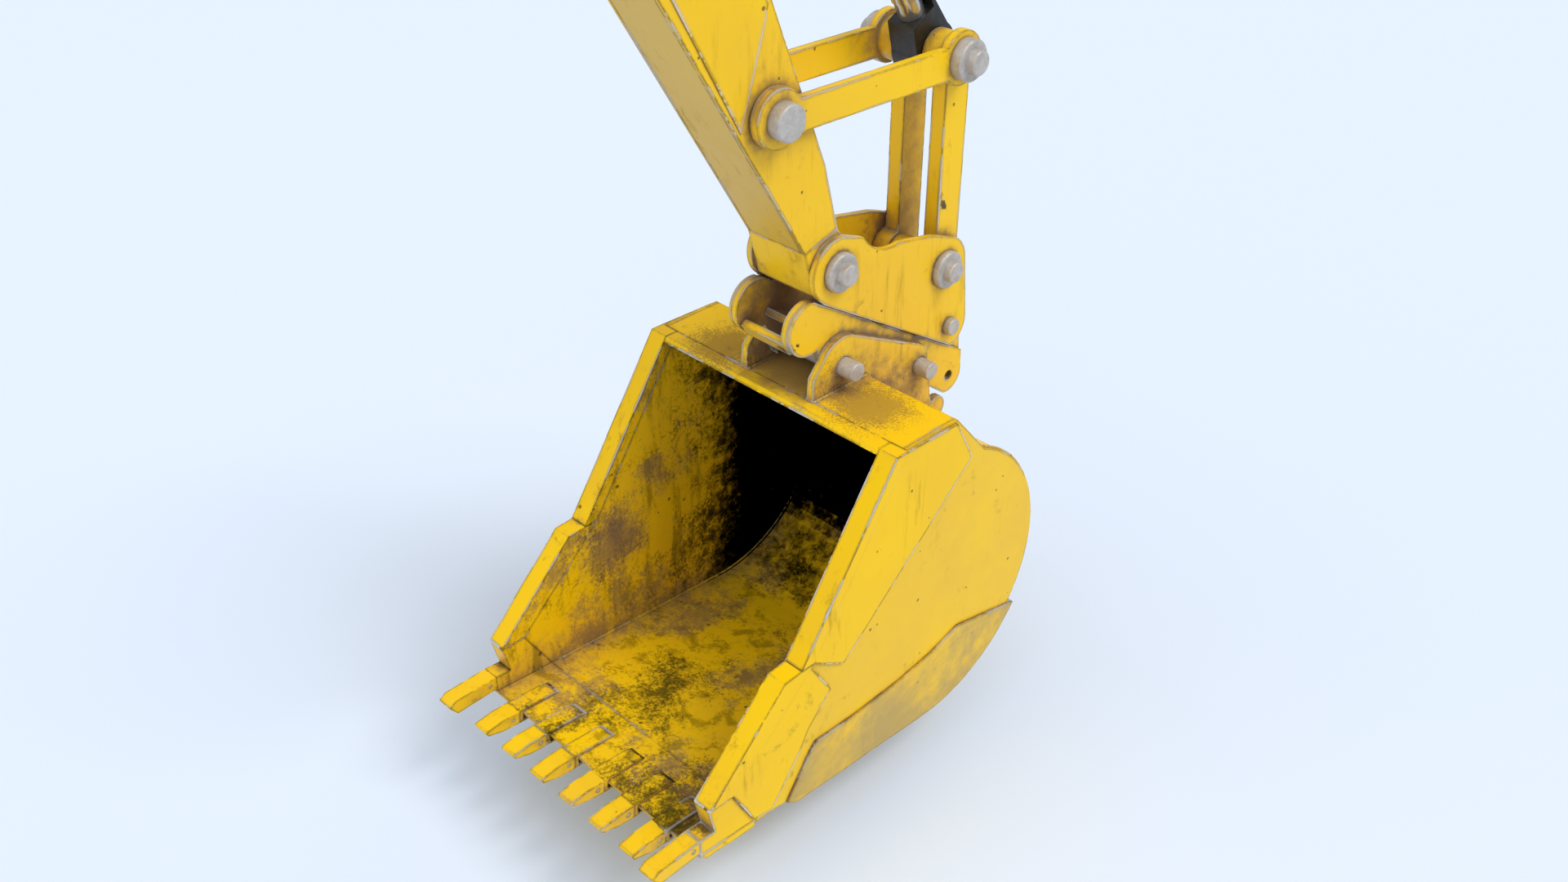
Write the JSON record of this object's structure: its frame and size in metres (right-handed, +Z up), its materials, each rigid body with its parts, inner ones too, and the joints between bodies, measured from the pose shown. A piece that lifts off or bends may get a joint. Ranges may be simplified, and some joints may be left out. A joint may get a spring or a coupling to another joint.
{
  "type": "excavator bucket",
  "caption": "Toothed digging bucket with double-walled sides on a quick coupler, with bucket linkage, rod end and stick end.",
  "frame": {"origin": "middle of the stick's cut end face, on the centre plane", "axes": "+Z up out of the stick's end face, -Y the way the bucket's mouth faces, X across the bucket's width along every pin"},
  "size_m": [1, 1.6589, 2.4099],
  "materials": {
    "yellow_paint": "satin, worn",
    "black_paint": "satin",
    "pin_steel": "dull",
    "chrome": "polished",
    "bronze": "satin"
  },
  "bodies": {
    "stick": {"stick_side_left": "yellow_paint", "stick_side_right": "yellow_paint", "stick_front_plate": "yellow_paint", "stick_back_plate": "yellow_paint", "stick_end_plate": "yellow_paint", "stick_nose_boss": "yellow_paint", "stick_bushes": "bronze", "stick_idler_boss": "yellow_paint", "stick_doublers": "yellow_paint"},
    "bucket": {"coupler_cheek_left": "yellow_paint", "coupler_cheek_right": "yellow_paint", "hook_plate_left": "yellow_paint", "hook_plate_right": "yellow_paint", "hook_doublers": "yellow_paint", "coupler_front_bar": "yellow_paint", "coupler_bridge": "yellow_paint", "stick_pin": "pin_steel", "link_pin_stubs": "pin_steel", "pin_caps": "pin_steel", "latch_pin": "pin_steel", "latch_barrel": "black_paint", "bucket_shell": "yellow_paint", "side_plate_left": "yellow_paint", "side_plate_right": "yellow_paint", "side_liners": "yellow_paint", "top_beam": "yellow_paint", "side_bar_left": "yellow_paint", "side_bar_right": "yellow_paint", "side_cutters": "yellow_paint", "cutting_edge": "yellow_paint", "corner_adapters": "yellow_paint", "corner_tooth_left": "yellow_paint", "corner_tooth_right": "yellow_paint", "heel_shrouds": "yellow_paint", "wear_strips": "yellow_paint", "ear_left": "yellow_paint", "ear_right": "yellow_paint", "front_bucket_pin": "pin_steel", "rear_bucket_pin": "pin_steel", "tooth_adapters": "yellow_paint", "tooth_1": "yellow_paint", "tooth_2": "yellow_paint", "tooth_3": "yellow_paint", "tooth_4": "yellow_paint", "tooth_5": "yellow_paint", "tooth_6": "yellow_paint", "tooth_lock_pins": "pin_steel"},
    "idler": {"idler_left": "yellow_paint", "idler_right": "yellow_paint", "idler_pin": "pin_steel", "link_pin": "pin_steel", "link_pin_caps": "pin_steel"},
    "bucket_link": {"link_left": "yellow_paint", "link_right": "yellow_paint", "link_tube": "yellow_paint"},
    "cylinder_rod": {"rod_end": "black_paint", "piston_rod": "chrome"},
    "latch_hook": {"latch_hook": "yellow_paint"},
    "latch_rod": {"latch_rod": "chrome"}
  },
  "joints": [
    {"name": "bucket_curl", "type": "hinge", "parent": "stick", "child": "bucket", "pos_m": [0, 0.48, -0.98], "axis": [-1, 0, 0], "range_deg": [-50, 30]},
    {"name": "idler_swing", "type": "hinge", "parent": "stick", "child": "idler", "pos_m": [0, 0.242, -0.473], "axis": [-1, 0, 0], "range_deg": [-40, 25]},
    {"name": "link_swing", "type": "hinge", "parent": "idler", "child": "bucket_link", "pos_m": [0, 0.949, -0.494], "axis": [-1, 0, 0], "range_deg": [-25, 30]},
    {"name": "rod_swing", "type": "hinge", "parent": "idler", "child": "cylinder_rod", "pos_m": [0, 0.949, -0.494], "axis": [-1, 0, 0], "range_deg": [-25, 40]},
    {"name": "latch_open", "type": "hinge", "parent": "bucket", "child": "latch_hook", "pos_m": [0, 0.979, -1.345], "axis": [1, 0, 0], "range_deg": [0, 25]},
    {"name": "latch_stroke", "type": "slide", "parent": "bucket", "child": "latch_rod", "axis": [0, -1, 0], "range_m": [0, 0.036]}
  ],
  "couplings": [
    {"joint": "idler_swing", "follows": "bucket_curl", "ratio": 0.684},
    {"joint": "link_swing", "follows": "bucket_curl", "ratio": -0.5},
    {"joint": "rod_swing", "follows": "bucket_curl", "ratio": -0.6},
    {"joint": "latch_stroke", "follows": "latch_open", "m_per_rad": 0.0794}
  ]
}
